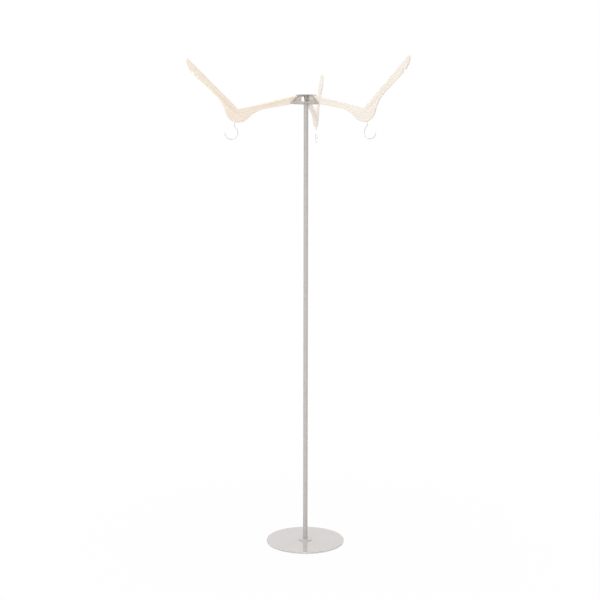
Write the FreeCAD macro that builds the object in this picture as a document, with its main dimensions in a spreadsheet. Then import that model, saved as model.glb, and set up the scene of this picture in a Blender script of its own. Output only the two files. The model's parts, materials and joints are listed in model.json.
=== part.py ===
"""A free-standing coat stand: a round steel foot, a slim three-piece pole and three wooden hangers.

Each hanger is held by one arm in a small open steel hub on top of the pole, upside down, so that its
hook hangs below the elbow and swivels about its own stem.  Lengths are in millimetres, angles in degrees.
The pole stands on the origin along +Z, and the first hanger reaches out along +Y.
"""
import math
import os
import re

import FreeCAD
import Part
import Sketcher

Vector = FreeCAD.Vector

# Directions in which the three hangers reach out from the pole
HANGERS = {1: 90, 2: 210, 3: 330}

# Driving sizes, with what each one is
SIZES = [
    ("pad_diameter", 264, "rubber disc glued under the foot"),
    ("pad_height", 2, "rubber thickness"),
    ("base_diameter", 280, "round steel foot"),
    ("base_thickness", 5, "foot plate thickness"),
    ("base_edge_round", 1.2, "rounding of the upper rim of the foot"),
    ("stud_diameter", 8, "threaded studs and hub bolt"),
    ("stud_head_diameter", 16, "countersunk head under the foot"),
    ("stud_head_height", 4, "height of the countersunk head"),
    ("stud_reach", 18, "how far a stud enters each plug"),
    ("stud_bevel", 1, "bevel on the ends of the studs and the bolt"),
    ("thread_gap", 0.1, "radial room between stud and tapped hole"),
    ("collar_diameter", 48, "loose ring round the pole's foot"),
    ("collar_height", 4, "height of that ring"),
    ("collar_round", 2.5, "rounding of its upper rim"),
    ("collar_gap", 0.15, "radial room between ring and pole"),
    ("pole_diameter", 16, "steel tube of the pole"),
    ("pole_wall", 1.2, "tube wall"),
    ("section_length", 520, "length of each of the three tubes"),
    ("pole_bevel", 0.4, "bevel on the outside of each tube end"),
    ("plug_length", 24, "tapped plugs fixed in the tube ends"),
    ("plug_gap", 0.05, "radial room between plug and tube"),
    ("lower_plate_diameter", 120, "lower disc of the hub"),
    ("upper_plate_diameter", 72, "upper disc of the hub"),
    ("plate_thickness", 3, "both discs of the hub"),
    ("plate_edge_round", 0.8, "rounding of the disc rims"),
    ("hub_gap", 23, "clear height between the discs"),
    ("post_diameter", 12, "spacer tube in the middle of the hub"),
    ("strut_diameter", 5, "leaning rods beside each hanger"),
    ("strut_gap", 0.5, "room between a rod and the hanger's cheek"),
    ("strut_top_radius", 31, "where a rod meets the upper disc"),
    ("strut_foot_radius", 55, "where a rod meets the lower disc"),
    ("cap_diameter", 18, "low round head of the hub bolt"),
    ("cap_height", 2.6, "height of that head"),
    ("cap_rim", 0.5, "straight rim left under the head's rounding"),
    ("elbow_radius", 247.5, "from the pole's axis to the inside corner of a hanger"),
    ("arm_rise", 13.6, "slope of the inner arm above level"),
    ("droop_angle", 28.2, "droop of both arms in the hanger's own frame"),
    ("arm_thickness", 12, "thickness of the flat wood"),
    ("half_span", 215, "half of the hanger's width"),
    ("neck_height", 45, "depth of wood at the elbow"),
    ("dome_radius", 46, "round back of the elbow"),
    ("waist_radius", 120, "hollow curve from elbow to arm"),
    ("shoulder_slope", 25.5, "slope of the straight back of an arm"),
    ("shoulder_crest", 17.1, "where that back would meet the hook's axis"),
    ("tip_radius", 72, "round back of the arm's end"),
    ("tip_round", 4, "blunting of the arm's tip"),
    ("edge_round", 3, "rounding along both faces of an arm"),
    ("notch_place", 180, "strap notch, measured from the hook's axis"),
    ("notch_width", 8, "strap notch width"),
    ("notch_depth", 9, "strap notch depth"),
    ("notch_round", 1, "rounding of the notch's edges"),
    ("tenon_end_radius", 19, "how near to the pole's axis the inner arm ends"),
    ("tenon_spare", 2, "wood beyond that end before it is cut"),
    ("heel_gap", 1.5, "room between the lower disc's rim and the arm's heel"),
    ("screw_radius", 40, "distance of the hanger screws from the pole's axis"),
    ("screw_diameter", 4, "hanger screws"),
    ("screw_length", 18, "hanger screws under the head"),
    ("screw_head_diameter", 8, "pan head"),
    ("screw_head_height", 2.4, "pan head"),
    ("screw_head_bevel", 1.2, "bevel on the pan head"),
    ("screw_gap", 0.1, "radial room round a hanger screw"),
    ("pilot_spare", 1, "pilot hole beyond the screw's point"),
    ("drill_start", 2, "how far outside the wood a drill begins"),
    ("dowel_diameter", 6, "dowels across the glued elbow"),
    ("dowel_length", 30, "dowels across the glued elbow"),
    ("dowel_bevel", 0.8, "bevel on the ends of a dowel"),
    ("dowel_spare", 1, "glue room at either end of a dowel"),
    ("dowel_low", 8, "first dowel above the inside corner"),
    ("dowel_high", 18, "second dowel above the inside corner"),
    ("dowel_gap", 0.1, "radial glue room round a dowel"),
    ("wire_diameter", 3.5, "hook wire"),
    ("wire_flat", 0.35, "small flat left at the wire's rounded end"),
    ("loop_radius", 23, "centre line of the hook's loop"),
    ("loop_offset", 4, "loop centre beyond the stem's axis"),
    ("loop_rise", 37, "loop centre beyond the wood"),
    ("stem_rise", 7, "straight stem beyond the wood"),
    ("loop_end", 162, "where the loop ends, round its centre"),
    ("bush_diameter", 7.6, "steel bush in which the hook turns"),
    ("bush_length", 12, "bush below its flange"),
    ("bush_gap", 0.1, "radial room between bush and wood"),
    ("flange_diameter", 9.6, "flange of the bush"),
    ("flange_height", 1.4, "flange of the bush"),
    ("flange_bevel", 0.4, "bevel on the flange's rim"),
    ("flange_sink", 0.8, "how deep the flange is let into the wood"),
    ("hook_gap", 0.05, "running fit between hook and bush"),
    ("retainer_diameter", 6.6, "ring pressed on the hook behind the bush"),
    ("retainer_height", 3, "height of that ring"),
    ("retainer_gap", 0.02, "radial room between ring and hook"),
    ("retainer_play", 0.3, "end play between ring and bush"),
    ("chamber_depth", 5, "room behind the bush for the ring"),
]
ALIASES = {name for name, value, note in SIZES}

# Levels above the floor and angles that follow from the driving sizes
BASE_TOP = "(pad_height + base_thickness)"
LOWER_JOINT = f"({BASE_TOP} + section_length)"
UPPER_JOINT = f"({BASE_TOP} + 2 * section_length)"
POLE_TOP = f"({BASE_TOP} + 3 * section_length)"
SEAT = f"({POLE_TOP} + plate_thickness)"
ROOF = f"({SEAT} + hub_gap)"
TILT = "(droop_angle - arm_rise)"
ELBOW_DROP = "((elbow_radius - upper_plate_diameter / 2) * tan(arm_rise) - hub_gap)"
PLUG_RADIUS = "(pole_diameter / 2 - pole_wall - plug_gap)"
TAPPED_RADIUS = "(stud_diameter / 2 + thread_gap)"
BUSH_FOOT = "(neck_height - flange_sink - bush_length)"
RETAINER_TOP = f"({BUSH_FOOT} - retainer_play)"
LOOP_CENTRE = "(neck_height + loop_rise)"
STEM_END = "(neck_height + stem_rise)"
BOLT_SHANK = "(stud_reach + 2 * plate_thickness + hub_gap)"
ARM_BLANK = "((elbow_radius - tenon_end_radius) / cos(arm_rise) + tenon_spare)"
ROD_BLANK = "(3 * hub_gap)"
LEAN = "(atan((strut_foot_radius - strut_top_radius) / hub_gap) / 1 deg)"
BESIDE = "(arm_thickness / 2 + strut_gap + strut_diameter / 2)"

# How close two lengths have to be to count as the same, in millimetres
NEAR = 1e-4

document = FreeCAD.newDocument("CoatStand")
sheet = document.addObject("Spreadsheet::Sheet", "Sizes")
for row, (name, value, note) in enumerate(SIZES, 1):
    sheet.set(f"A{row}", name)
    sheet.set(f"B{row}", str(value))
    sheet.set(f"C{row}", note)
    sheet.setAlias(f"B{row}", name)
document.recompute()

nodes = {}


def bound(expression):
    """Return the expression with every size name pointing at its cell."""
    return re.sub(r"[a-z_]+", lambda word: f"Sizes.{word[0]}" if word[0] in ALIASES else word[0], expression)


def number(expression):
    """Return what the expression is worth now."""
    return float(sheet.evalExpression(bound(expression)))


def plane_of(body, role):
    """Return one of the body's own origin planes."""
    return next(item for item in body.Origin.OriginFeatures if item.Role == role)


def new_body(label):
    """Start a physical piece under its own name."""
    body = document.addObject("PartDesign::Body", label)
    body.Label = label
    nodes[label] = body
    return body


def new_sketch(body, name, role="XZ_Plane"):
    """Start a sketch on one of the body's own planes."""
    sketch = body.newObject("Sketcher::SketchObject", name)
    sketch.AttachmentSupport = (plane_of(body, role), [""])
    sketch.MapMode = "FlatFace"
    return sketch


def drive(sketch, kind, places, expression, unit=""):
    """Add a dimension to the sketch and bind it to the sheet."""
    value = number(expression)
    if unit:
        value = math.radians(value)
    index = sketch.addConstraint(Sketcher.Constraint(kind, *places, value))
    text = bound(expression)
    sketch.setExpression(f"Constraints[{index}]", f"({text}) * 1 {unit}" if unit else text)


def fix(sketch, kind, *places):
    """Add a constraint that carries no dimension."""
    sketch.addConstraint(Sketcher.Constraint(kind, *places))


def polygon(sketch, corners):
    """Draw a closed outline whose corners are given as pairs of expressions."""
    points = [Vector(number(across), number(up), 0) for across, up in corners]
    count = len(points)
    for index in range(count):
        sketch.addGeometry(Part.LineSegment(points[index], points[(index + 1) % count]), False)
    for index in range(count):
        fix(sketch, "Coincident", index, 2, (index + 1) % count, 1)
    for index, (across, up) in enumerate(corners):
        if across == "0":
            fix(sketch, "PointOnObject", index, 1, -2)
        else:
            drive(sketch, "DistanceX", (-1, 1, index, 1), across)
        if up == "0":
            fix(sketch, "PointOnObject", index, 1, -1)
        else:
            drive(sketch, "DistanceY", (-1, 1, index, 1), up)


def turned(label, corners, placement):
    """Make a round piece by turning an outline of radius and height about its axis."""
    body = new_body(label)
    sketch = new_sketch(body, f"{label}_outline")
    polygon(sketch, corners)
    turn = body.newObject("PartDesign::Revolution", f"{label}_turned")
    turn.Profile = sketch
    turn.ReferenceAxis = (sketch, ["V_Axis"])
    turn.Angle = 360
    body.setExpression("Placement", bound(placement))
    document.recompute()
    return body


def bored(body, name, corners, offset=""):
    """Turn an outline about the sketch's upright axis and take it away from the piece."""
    sketch = new_sketch(body, f"{name}_outline")
    if offset:
        sketch.setExpression("AttachmentOffset", bound(offset))
    polygon(sketch, corners)
    before = body.Shape.Volume
    groove = body.newObject("PartDesign::Groove", name)
    groove.Profile = sketch
    groove.ReferenceAxis = (sketch, ["V_Axis"])
    groove.Angle = 360
    document.recompute()
    assert body.Shape.Volume < before, name


def pocketed(body, sketch, name, length, both_ways=False, reverse=False):
    """Sink the sketch into the piece and make sure that it took wood or metal away."""
    before = body.Shape.Volume
    pocket = body.newObject("PartDesign::Pocket", name)
    pocket.Profile = sketch
    pocket.SideType = "Symmetric" if both_ways else "One side"
    pocket.Reversed = reverse
    pocket.setExpression("Length", bound(length))
    document.recompute()
    assert body.Shape.Volume < before, name


def rounded(body, name, radius, wanted):
    """Round those edges of the piece for which wanted(edge) is true."""
    tip = body.Tip
    chosen = [f"Edge{index}" for index, edge in enumerate(tip.Shape.Edges, 1) if wanted(edge)]
    fillet = body.newObject("PartDesign::Fillet", name)
    fillet.Base = (tip, chosen)
    fillet.setExpression("Radius", bound(radius))
    document.recompute()


def rim_at(radius, height):
    """Return a test for the circular edge of that radius at that height in the piece's own frame."""
    wide = number(radius)
    high = number(height)

    def wanted(edge):
        curve = edge.Curve
        if not isinstance(curve, Part.Circle):
            return False
        return abs(curve.Radius - wide) < NEAR and abs(curve.Center.z - high) < NEAR

    return wanted


def upright(height):
    """Return the placement of a round piece that stands on the pole's axis at that height."""
    return f"placement(vector(0; 0; {height}); rotation(vector(0; 0; 1); 0))"


def on_hanger(azimuth, turn="0"):
    """Return the placement of a hanger's own frame: origin at the inside corner, +Z along the hook."""
    corner = f"vector(elbow_radius * cos({azimuth}); elbow_radius * sin({azimuth}); {SEAT} - {ELBOW_DROP})"
    swing = f"rotation(vector(0; 0; 1); {azimuth}) * rotation(vector(0; 1; 0); 180 - {TILT})"
    return f"placement({corner}; {swing} * rotation(vector(0; 0; 1); {turn}))"


# Foot: rubber disc, steel plate, countersunk stud and the ring round the pole

turned("base_pad", [
    ("0", "0"),
    ("pad_diameter / 2", "0"),
    ("pad_diameter / 2", "pad_height"),
    ("0", "pad_height"),
], upright("0"))

base_plate = turned("base_plate", [
    ("stud_head_diameter / 2 + thread_gap", "0"),
    ("base_diameter / 2", "0"),
    ("base_diameter / 2", "base_thickness"),
    (TAPPED_RADIUS, "base_thickness"),
    (TAPPED_RADIUS, "stud_head_height"),
], upright("pad_height"))
rounded(base_plate, "base_rim", "base_edge_round", rim_at("base_diameter / 2", "base_thickness"))

turned("base_stud", [
    ("0", "0"),
    ("stud_head_diameter / 2", "0"),
    ("stud_diameter / 2", "stud_head_height"),
    ("stud_diameter / 2", "base_thickness + stud_reach - stud_bevel"),
    ("stud_diameter / 2 - stud_bevel", "base_thickness + stud_reach"),
    ("0", "base_thickness + stud_reach"),
], upright("pad_height"))

foot_collar = turned("foot_collar", [
    ("pole_diameter / 2 + collar_gap", "0"),
    ("collar_diameter / 2", "0"),
    ("collar_diameter / 2", "collar_height"),
    ("pole_diameter / 2 + collar_gap", "collar_height"),
], upright(BASE_TOP))
rounded(foot_collar, "collar_rim", "collar_round", rim_at("collar_diameter / 2", "collar_height"))

# Pole: three tubes, each with a tapped plug in either end, and the studs that join them

for section, start in (("lower", BASE_TOP), ("middle", LOWER_JOINT), ("upper", UPPER_JOINT)):
    turned(f"pole_{section}", [
        ("pole_diameter / 2 - pole_wall", "0"),
        ("pole_diameter / 2 - pole_bevel", "0"),
        ("pole_diameter / 2", "pole_bevel"),
        ("pole_diameter / 2", "section_length - pole_bevel"),
        ("pole_diameter / 2 - pole_bevel", "section_length"),
        ("pole_diameter / 2 - pole_wall", "section_length"),
    ], upright(start))
    for end, height in (("bottom", start), ("top", f"{start} + section_length - plug_length")):
        turned(f"{section}_{end}_plug", [
            (TAPPED_RADIUS, "0"),
            (PLUG_RADIUS, "0"),
            (PLUG_RADIUS, "plug_length"),
            (TAPPED_RADIUS, "plug_length"),
        ], upright(height))

for joint, height in (("lower", LOWER_JOINT), ("upper", UPPER_JOINT)):
    turned(f"{joint}_joint_stud", [
        ("0", "0"),
        ("stud_diameter / 2 - stud_bevel", "0"),
        ("stud_diameter / 2", "stud_bevel"),
        ("stud_diameter / 2", "2 * stud_reach - stud_bevel"),
        ("stud_diameter / 2 - stud_bevel", "2 * stud_reach"),
        ("0", "2 * stud_reach"),
    ], upright(f"{height} - stud_reach"))

# Hub: two discs, a spacer, leaning rods beside each hanger and one bolt into the pole

lower_plate = turned("hub_lower_plate", [
    (TAPPED_RADIUS, "0"),
    ("lower_plate_diameter / 2", "0"),
    ("lower_plate_diameter / 2", "plate_thickness"),
    (TAPPED_RADIUS, "plate_thickness"),
], upright(POLE_TOP))
rounded(lower_plate, "lower_rim", "plate_edge_round", rim_at("lower_plate_diameter / 2", "0"))
screw_holes = new_sketch(lower_plate, "screw_holes", "XY_Plane")
for index, azimuth in enumerate(HANGERS.values()):
    across = number("screw_radius") * math.cos(math.radians(azimuth))
    along = number("screw_radius") * math.sin(math.radians(azimuth))
    hole = Part.Circle(Vector(across, along, 0), Vector(0, 0, 1), number("screw_diameter / 2 + screw_gap"))
    screw_holes.addGeometry(hole, False)
    if abs(across) < NEAR:
        fix(screw_holes, "PointOnObject", index, 3, -2)
    else:
        drive(screw_holes, "DistanceX", (-1, 1, index, 3), f"screw_radius * cos({azimuth})")
    drive(screw_holes, "DistanceY", (-1, 1, index, 3), f"screw_radius * sin({azimuth})")
    drive(screw_holes, "Radius", (index,), "screw_diameter / 2 + screw_gap")
pocketed(lower_plate, screw_holes, "screw_bores", "4 * plate_thickness", both_ways=True)

upper_plate = turned("hub_upper_plate", [
    (TAPPED_RADIUS, "0"),
    ("upper_plate_diameter / 2", "0"),
    ("upper_plate_diameter / 2", "plate_thickness"),
    (TAPPED_RADIUS, "plate_thickness"),
], upright(ROOF))
rounded(upper_plate, "upper_rim", "plate_edge_round", rim_at("upper_plate_diameter / 2", "plate_thickness"))

turned("hub_post", [
    (TAPPED_RADIUS, "0"),
    ("post_diameter / 2", "0"),
    ("post_diameter / 2", "hub_gap"),
    (TAPPED_RADIUS, "hub_gap"),
], upright(SEAT))

hub_bolt = turned("hub_bolt", [
    ("0", "0"),
    ("stud_diameter / 2 - stud_bevel", "0"),
    ("stud_diameter / 2", "stud_bevel"),
    ("stud_diameter / 2", BOLT_SHANK),
    ("cap_diameter / 2", BOLT_SHANK),
    ("cap_diameter / 2", f"{BOLT_SHANK} + cap_height"),
    ("0", f"{BOLT_SHANK} + cap_height"),
], upright(f"{POLE_TOP} - stud_reach"))
cap_edge = rim_at("cap_diameter / 2", f"{BOLT_SHANK} + cap_height")
rounded(hub_bolt, "cap_rounding", "cap_height - cap_rim", cap_edge)

for hanger, azimuth in HANGERS.items():
    for side, sign in (("left", 1), ("right", -1)):
        label = f"hub_strut_{hanger}_{side}"
        rod = document.addObject("Part::Cylinder", f"{label}_rod")
        rod.setExpression("Radius", bound("strut_diameter / 2"))
        rod.setExpression("Height", bound(ROD_BLANK))
        out = f"((strut_foot_radius + strut_top_radius + {ROD_BLANK} * sin({LEAN})) / 2)"
        low = f"{SEAT} + (hub_gap - {ROD_BLANK} * cos({LEAN})) / 2"
        across = f"{out} * cos({azimuth}) - {sign} * {BESIDE} * sin({azimuth})"
        along = f"{out} * sin({azimuth}) + {sign} * {BESIDE} * cos({azimuth})"
        lean = f"rotation(vector(0; 0; 1); {azimuth}) * rotation(vector(0; 1; 0); 0 - {LEAN})"
        rod.setExpression("Placement", bound(f"placement(vector({across}; {along}; {low}); {lean})"))
        slab = document.addObject("Part::Box", f"{label}_slab")
        slab.setExpression("Length", bound("lower_plate_diameter"))
        slab.setExpression("Width", bound("lower_plate_diameter"))
        slab.setExpression("Height", bound("hub_gap"))
        corner = f"vector(0 - lower_plate_diameter / 2; 0 - lower_plate_diameter / 2; {SEAT})"
        slab.setExpression("Placement", bound(f"placement({corner}; rotation(vector(0; 0; 1); 0))"))
        strut = document.addObject("Part::Common", label)
        strut.Base = rod
        strut.Tool = slab
        strut.Label = label
        nodes[label] = strut

# Hangers: two arms glued at the elbow, held at the inner end, with a swivelling hook


def tangent_points():
    """Return the centres and tangent points of the arm's back, in the hanger's own frame."""
    slope = math.radians(number("shoulder_slope"))
    normal = Vector(math.sin(slope), math.cos(slope), 0)
    along = Vector(math.cos(slope), -math.sin(slope), 0)
    crest = Vector(0, number("shoulder_crest"), 0)
    dome = number("dome_radius")
    waist = number("waist_radius")
    tip = number("tip_radius")
    dome_centre = Vector(0, number("neck_height") - dome, 0)
    reach = crest + normal * waist - dome_centre
    step = -reach.dot(along) + math.sqrt(reach.dot(along) ** 2 - reach.dot(reach) + (dome + waist) ** 2)
    waist_centre = crest + normal * waist + along * step
    dome_end = dome_centre + (waist_centre - dome_centre) * (dome / (dome + waist))
    waist_end = waist_centre - normal * waist
    point = Vector(number("half_span"), -number("half_span * tan(droop_angle)"), 0)
    reach = crest - normal * tip - point
    step = -reach.dot(along) - math.sqrt(reach.dot(along) ** 2 - reach.dot(reach) + tip ** 2)
    tip_centre = crest - normal * tip + along * step
    tip_start = tip_centre + normal * tip
    return dome_centre, dome_end, waist_centre, waist_end, tip_centre, tip_start, point


def arc_between(centre, first, second):
    """Return the arc that runs the positive way from the first point to the second."""
    start = math.atan2(first.y - centre.y, first.x - centre.x)
    end = math.atan2(second.y - centre.y, second.x - centre.x)
    if end < start:
        end += 2 * math.pi
    circle = Part.Circle(centre, Vector(0, 0, 1), first.distanceToPoint(centre))
    return Part.ArcOfCircle(circle, start, end)


def arm_outline(body, name, inner):
    """Draw one arm: joint face, round elbow, hollow waist, straight back, end and straight belly."""
    dome_centre, dome_end, waist_centre, waist_end, tip_centre, tip_start, point = tangent_points()
    origin = Vector(0, 0, 0)
    neck = Vector(0, number("neck_height"), 0)
    crest = Vector(0, number("shoulder_crest"), 0)
    droop = math.radians(number("droop_angle"))
    slope = math.radians(number("shoulder_slope"))
    belly_end = point
    back_end = tip_start
    if inner:
        length = number(ARM_BLANK)
        belly_end = Vector(length * math.cos(droop), -length * math.sin(droop), 0)
        upward = Vector(math.sin(droop), math.cos(droop), 0)
        along = Vector(math.cos(slope), -math.sin(slope), 0)
        cross = upward.x * along.y - upward.y * along.x
        gap = belly_end - crest
        back_end = crest + along * ((upward.x * gap.y - upward.y * gap.x) / cross)
    sketch = new_sketch(body, name)
    sketch.addGeometry(Part.LineSegment(origin, belly_end), False)
    sketch.addGeometry(Part.LineSegment(origin, neck), False)
    sketch.addGeometry(arc_between(dome_centre, dome_end, neck), False)
    sketch.addGeometry(arc_between(waist_centre, dome_end, waist_end), False)
    sketch.addGeometry(Part.LineSegment(waist_end, back_end), False)
    if inner:
        sketch.addGeometry(Part.LineSegment(back_end, belly_end), False)
    else:
        sketch.addGeometry(arc_between(tip_centre, point, tip_start), False)
    sketch.addGeometry(Part.Point(crest), True)
    belly, face, dome, waist, back, end, mark = range(7)
    fix(sketch, "Coincident", belly, 1, -1, 1)
    fix(sketch, "Coincident", face, 1, -1, 1)
    fix(sketch, "PointOnObject", face, 2, -2)
    fix(sketch, "PointOnObject", dome, 3, -2)
    fix(sketch, "Coincident", dome, 2, face, 2)
    fix(sketch, "Tangent", dome, 1, waist, 1)
    fix(sketch, "Tangent", waist, 2, back, 1)
    fix(sketch, "PointOnObject", mark, 1, -2)
    fix(sketch, "PointOnObject", mark, 1, back)
    drive(sketch, "DistanceY", (-1, 1, face, 2), "neck_height")
    drive(sketch, "DistanceY", (-1, 1, mark, 1), "shoulder_crest")
    drive(sketch, "Radius", (dome,), "dome_radius")
    drive(sketch, "Radius", (waist,), "waist_radius")
    drive(sketch, "Angle", (back,), "0 - shoulder_slope", "deg")
    drive(sketch, "Angle", (belly,), "0 - droop_angle", "deg")
    if inner:
        fix(sketch, "Coincident", back, 2, end, 1)
        fix(sketch, "Coincident", end, 2, belly, 2)
        fix(sketch, "Perpendicular", belly, end)
        drive(sketch, "Distance", (belly,), ARM_BLANK)
    else:
        fix(sketch, "Tangent", back, 2, end, 2)
        fix(sketch, "Coincident", end, 1, belly, 2)
        drive(sketch, "Radius", (end,), "tip_radius")
        drive(sketch, "DistanceX", (-1, 1, belly, 2), "half_span")
    return sketch


def on_faces(edge):
    """Tell whether the edge runs along one of the arm's flat faces, away from its glued or cut end."""
    half = number("arm_thickness / 2")
    middle = edge.valueAt((edge.FirstParameter + edge.LastParameter) / 2)
    if abs(abs(middle.y) - half) > NEAR:
        return False
    if abs(edge.Vertexes[0].Y - edge.Vertexes[-1].Y) > NEAR:
        return False
    return middle.x > NEAR


def arm_blank(label, inner):
    """Cut one arm from flat wood, round its edges and drill it for the dowels and the hook's bush."""
    body = new_body(label)
    sketch = arm_outline(body, f"{label}_outline", inner)
    blank = body.newObject("PartDesign::Pad", f"{label}_blank")
    blank.Profile = sketch
    blank.SideType = "Symmetric"
    blank.setExpression("Length", bound("arm_thickness"))
    document.recompute()
    if not inner:
        end = number("half_span") - NEAR
        rounded(body, f"{label}_tip", "tip_round", lambda edge: min(v.X for v in edge.Vertexes) > end)
    droop = math.radians(number("droop_angle"))
    far = number(ARM_BLANK) - NEAR

    def wanted(edge):
        if not on_faces(edge):
            return False
        reach = [v.X * math.cos(droop) - v.Z * math.sin(droop) for v in edge.Vertexes]
        return not inner or min(reach) < far

    rounded(body, f"{label}_edges", "edge_round", wanted)
    holes = new_sketch(body, f"{label}_dowel_holes", "YZ_Plane")
    for index, height in enumerate(("dowel_low", "dowel_high")):
        centre = Vector(0, number(height), 0)
        holes.addGeometry(Part.Circle(centre, Vector(0, 0, 1), number("dowel_diameter / 2 + dowel_gap")), False)
        fix(holes, "PointOnObject", index, 3, -2)
        drive(holes, "DistanceY", (-1, 1, index, 3), height)
        drive(holes, "Radius", (index,), "dowel_diameter / 2 + dowel_gap")
    pocketed(body, holes, f"{label}_dowel_bores", "dowel_length / 2 + dowel_spare", reverse=True)
    bored(body, f"{label}_bush_bore", [
        ("0", f"{BUSH_FOOT} - chamber_depth"),
        ("bush_diameter / 2 + bush_gap", f"{BUSH_FOOT} - chamber_depth"),
        ("bush_diameter / 2 + bush_gap", "neck_height - flange_sink"),
        ("flange_diameter / 2 + bush_gap", "neck_height - flange_sink"),
        ("flange_diameter / 2 + bush_gap", "neck_height + drill_start"),
        ("0", "neck_height + drill_start"),
    ])
    return body


def inner_arm(label, azimuth):
    """Make the arm that is held in the hub: its end is cut level to fit between the two discs."""
    body = arm_blank(label, True)
    start_across = f"elbow_radius * cos({TILT}) - {ELBOW_DROP} * sin({TILT})"
    start_up = f"0 - elbow_radius * sin({TILT}) - {ELBOW_DROP} * cos({TILT})"
    level = f"rotation(vector(0; 0; 1); 0 - {TILT})"
    cut = new_sketch(body, f"{label}_tenon_outline")
    cut.setExpression("AttachmentOffset", bound(f"placement(vector({start_across}; {start_up}; 0); {level})"))
    polygon(cut, [
        ("0 - upper_plate_diameter / 2", "0 - hub_gap"),
        ("0 - tenon_end_radius", "0 - hub_gap"),
        ("0 - tenon_end_radius", "0"),
        ("0 - lower_plate_diameter / 2 - heel_gap", "0"),
        ("0 - lower_plate_diameter / 2 - heel_gap", "hub_gap"),
        ("hub_gap", "hub_gap"),
        ("hub_gap", "0 - 2 * hub_gap"),
        ("0 - upper_plate_diameter / 2", "0 - 2 * hub_gap"),
    ])
    pocketed(body, cut, f"{label}_tenon", "2 * arm_thickness", both_ways=True)
    hole_across = f"{start_across} - screw_radius * cos({TILT})"
    hole_up = f"{start_up} + screw_radius * sin({TILT})"
    bored(body, f"{label}_pilot", [
        ("0", "plate_thickness - screw_length - pilot_spare"),
        ("screw_diameter / 2 + screw_gap", "plate_thickness - screw_length - pilot_spare"),
        ("screw_diameter / 2 + screw_gap", "drill_start"),
        ("0", "drill_start"),
    ], f"placement(vector({hole_across}; {hole_up}; 0); {level})")
    body.setExpression("Placement", bound(on_hanger(azimuth)))


def outer_arm(label, azimuth):
    """Make the arm that rises to the free tip, with its strap notch."""
    body = arm_blank(label, False)
    back = "shoulder_crest - notch_place * tan(shoulder_slope)"
    deep = f"({back} - notch_depth + notch_width / 2)"
    left = number("notch_place - notch_width / 2")
    right = number("notch_place + notch_width / 2")
    bottom = number(deep)
    top = number(f"{back} + 2 * notch_width")
    sketch = new_sketch(body, f"{label}_notch_outline")
    centre = Vector(number("notch_place"), bottom, 0)
    sketch.addGeometry(Part.LineSegment(Vector(left, top, 0), Vector(left, bottom, 0)), False)
    sketch.addGeometry(arc_between(centre, Vector(left, bottom, 0), Vector(right, bottom, 0)), False)
    sketch.addGeometry(Part.LineSegment(Vector(right, bottom, 0), Vector(right, top, 0)), False)
    sketch.addGeometry(Part.LineSegment(Vector(right, top, 0), Vector(left, top, 0)), False)
    fix(sketch, "Tangent", 0, 2, 1, 1)
    fix(sketch, "Tangent", 1, 2, 2, 1)
    fix(sketch, "Coincident", 2, 2, 3, 1)
    fix(sketch, "Coincident", 3, 2, 0, 1)
    fix(sketch, "Vertical", 0)
    fix(sketch, "Horizontal", 3)
    drive(sketch, "Radius", (1,), "notch_width / 2")
    drive(sketch, "DistanceX", (-1, 1, 1, 3), "notch_place")
    drive(sketch, "DistanceY", (-1, 1, 1, 3), deep)
    drive(sketch, "DistanceY", (-1, 1, 0, 1), f"{back} + 2 * notch_width")
    pocketed(body, sketch, f"{label}_notch", "2 * arm_thickness", both_ways=True)

    def at_mouth(edge):
        middle = edge.valueAt((edge.FirstParameter + edge.LastParameter) / 2)
        seam = abs(middle.y) < NEAR and abs(middle.z - bottom) < NEAR
        return left - NEAR < middle.x < right + NEAR and middle.z > bottom - number("notch_width") and not seam

    rounded(body, f"{label}_notch_edges", "notch_round", at_mouth)
    body.setExpression("Placement", bound(on_hanger(azimuth, "180")))


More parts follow.
